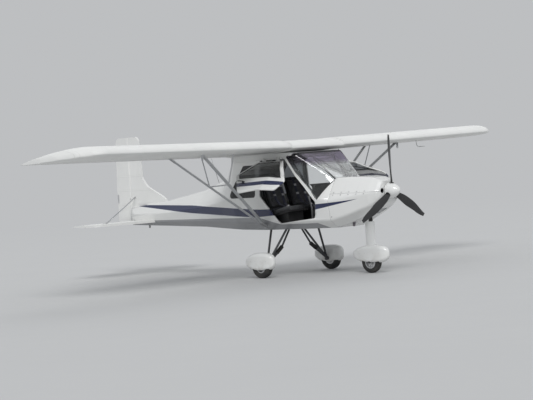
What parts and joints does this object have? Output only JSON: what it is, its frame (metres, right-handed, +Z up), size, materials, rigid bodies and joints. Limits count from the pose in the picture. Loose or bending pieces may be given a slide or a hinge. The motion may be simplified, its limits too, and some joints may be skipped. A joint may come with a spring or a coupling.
{
  "type": "three-axis microlight aeroplane",
  "caption": "High-wing strut-braced two-seat light aeroplane on tricycle gear with spats, both top-hinged cabin doors held open by gas struts.",
  "frame": {"origin": "on the ground under the middle of the aeroplane's outline", "axes": "+X forward to the propeller, +Y to port, +Z up"},
  "size_m": [6.2, 9.4516, 2.335],
  "materials": {
    "white_skin": "glossy white laminate",
    "wing_cloth": "white coated sailcloth, satin",
    "frame_tube": "black painted tube",
    "strut_aluminium": "satin anodised",
    "bare_aluminium": "dull fins",
    "bare_steel": "brushed",
    "engine_metal": "dark castings",
    "clear_screen": "clear polycarbonate with a tinted top band",
    "tinted_pane": "smoke tinted polycarbonate",
    "black_plastic": "matt black",
    "seat_cloth": "dark upholstery",
    "tank_plastic": "natural moulding",
    "tyre_rubber": "black rubber",
    "rim_metal": "painted light grey",
    "rod_chrome": "polished",
    "propeller_black": "black composite, satin"
  },
  "bodies": {
    "airframe": {"upper_cowl": "white_skin", "lower_cowl": "white_skin", "firewall": "bare_steel", "engine": "engine_metal", "engine_mount": "frame_tube", "radiator": "bare_aluminium", "exhaust_pipe": "bare_steel", "cabin_shell": "white_skin", "windscreen": "clear_screen", "cabin_frame": "frame_tube", "rear_fuselage": "white_skin", "rear_windows": "tinted_pane", "instrument_panel": "black_plastic", "seats": "black_plastic", "seat_cushions": "seat_cloth", "flight_controls": "frame_tube", "fuel_tank": "tank_plastic", "wing_centre": "wing_cloth", "wing_panels": "wing_cloth", "lift_struts": "strut_aluminium", "fin": "wing_cloth", "tailplane": "wing_cloth", "tail_braces": "strut_aluminium", "main_gear": "frame_tube", "main_spats": "white_skin"},
    "propeller_unit": {"propeller": "propeller_black", "spinner": "white_skin"},
    "nose_gear": {"nose_leg": "frame_tube", "nose_spat": "white_skin", "nose_leg_fairing": "white_skin"},
    "nose_wheel": {"nose_tyre": "tyre_rubber", "nose_rim": "rim_metal"},
    "port_wheel": {"port_tyre": "tyre_rubber", "port_rim": "rim_metal"},
    "starboard_wheel": {"starboard_tyre": "tyre_rubber", "starboard_rim": "rim_metal"},
    "rudder_blade": {"rudder": "wing_cloth"},
    "elevator_blade": {"elevator": "wing_cloth"},
    "port_aileron": {"aileron_port": "wing_cloth"},
    "starboard_aileron": {"aileron_starboard": "wing_cloth"},
    "port_flap": {"flap_port": "wing_cloth"},
    "starboard_flap": {"flap_starboard": "wing_cloth"},
    "port_door": {"door_port": "white_skin", "door_pane_port": "tinted_pane"},
    "starboard_door": {"door_starboard": "white_skin", "door_pane_starboard": "tinted_pane"},
    "port_gas_cylinder": {"gas_cylinder_port": "frame_tube"},
    "starboard_gas_cylinder": {"gas_cylinder_starboard": "frame_tube"},
    "port_gas_rod": {"gas_rod_port": "rod_chrome"},
    "starboard_gas_rod": {"gas_rod_starboard": "rod_chrome"}
  },
  "joints": [
    {"name": "propeller_spin", "type": "hinge", "parent": "airframe", "child": "propeller_unit", "pos_m": [2.95, 0, 1.225], "axis": [1, 0, 0], "continuous": true},
    {"name": "nose_steer", "type": "hinge", "parent": "airframe", "child": "nose_gear", "pos_m": [2.5, 0, 0.5], "axis": [0, 0, 1], "range_deg": [-25, 25]},
    {"name": "nose_wheel_spin", "type": "hinge", "parent": "nose_gear", "child": "nose_wheel", "pos_m": [2.47, 0, 0.165], "axis": [0, 1, 0], "continuous": true},
    {"name": "port_wheel_spin", "type": "hinge", "parent": "airframe", "child": "port_wheel", "pos_m": [0.96, 0.8, 0.18], "axis": [0, 1, 0], "continuous": true},
    {"name": "starboard_wheel_spin", "type": "hinge", "parent": "airframe", "child": "starboard_wheel", "pos_m": [0.96, -0.8, 0.18], "axis": [0, 1, 0], "continuous": true},
    {"name": "rudder_swing", "type": "hinge", "parent": "airframe", "child": "rudder_blade", "pos_m": [-2.76, 0, 1.6], "axis": [0, 0, 1], "range_deg": [-25, 25]},
    {"name": "elevator_swing", "type": "hinge", "parent": "airframe", "child": "elevator_blade", "pos_m": [-2.612, 0, 0.905], "axis": [0, 1, 0], "range_deg": [-20, 25]},
    {"name": "port_aileron_swing", "type": "hinge", "parent": "airframe", "child": "port_aileron", "pos_m": [0.45442, 3.30121, 1.9769], "axis": [0, 0.9998, 0.0175], "range_deg": [-20, 20]},
    {"name": "starboard_aileron_swing", "type": "hinge", "parent": "airframe", "child": "starboard_aileron", "pos_m": [0.45442, -3.30121, 1.9769], "axis": [0, 0.9998, -0.0175], "range_deg": [-20, 20]},
    {"name": "port_flap_swing", "type": "hinge", "parent": "airframe", "child": "port_flap", "pos_m": [0.45442, 1.45149, 1.94461], "axis": [0, -0.9998, -0.0175], "range_deg": [0, 40]},
    {"name": "starboard_flap_swing", "type": "hinge", "parent": "airframe", "child": "starboard_flap", "pos_m": [0.45442, -1.45149, 1.94461], "axis": [0, -0.9998, 0.0175], "range_deg": [0, 40]},
    {"name": "port_door_lift", "type": "hinge", "parent": "airframe", "child": "port_door", "pos_m": [0.95, 0.57, 1.8], "axis": [1, 0, 0], "range_deg": [-65, 5]},
    {"name": "port_gas_tilt", "type": "hinge", "parent": "airframe", "child": "port_gas_cylinder", "pos_m": [0.828, 0.2, 1.772], "axis": [1, 0, 0], "range_deg": [-22.95, 1.95]},
    {"name": "port_gas_slide", "type": "slide", "parent": "port_gas_cylinder", "child": "port_gas_rod", "axis": [0, 0.9796, -0.2009], "range_m": [-0.19649, 0.01558]},
    {"name": "starboard_door_lift", "type": "hinge", "parent": "airframe", "child": "starboard_door", "pos_m": [0.95, -0.57, 1.8], "axis": [-1, 0, 0], "range_deg": [-65, 5]},
    {"name": "starboard_gas_tilt", "type": "hinge", "parent": "airframe", "child": "starboard_gas_cylinder", "pos_m": [0.828, -0.2, 1.772], "axis": [-1, 0, 0], "range_deg": [-22.95, 1.95]},
    {"name": "starboard_gas_slide", "type": "slide", "parent": "starboard_gas_cylinder", "child": "starboard_gas_rod", "axis": [0, -0.9796, -0.2009], "range_m": [-0.19649, 0.01558]}
  ],
  "couplings": [
    {"joint": "rudder_swing", "follows": "nose_steer", "ratio": -1},
    {"joint": "starboard_aileron_swing", "follows": "port_aileron_swing", "ratio": -1},
    {"joint": "starboard_flap_swing", "follows": "port_flap_swing", "ratio": 1},
    {"joint": "port_gas_tilt", "follows": "port_door_lift", "ratio": 0.34996},
    {"joint": "port_gas_slide", "follows": "port_door_lift", "m_per_rad": 0.17276},
    {"joint": "starboard_gas_tilt", "follows": "starboard_door_lift", "ratio": 0.34996},
    {"joint": "starboard_gas_slide", "follows": "starboard_door_lift", "m_per_rad": 0.17276}
  ]
}
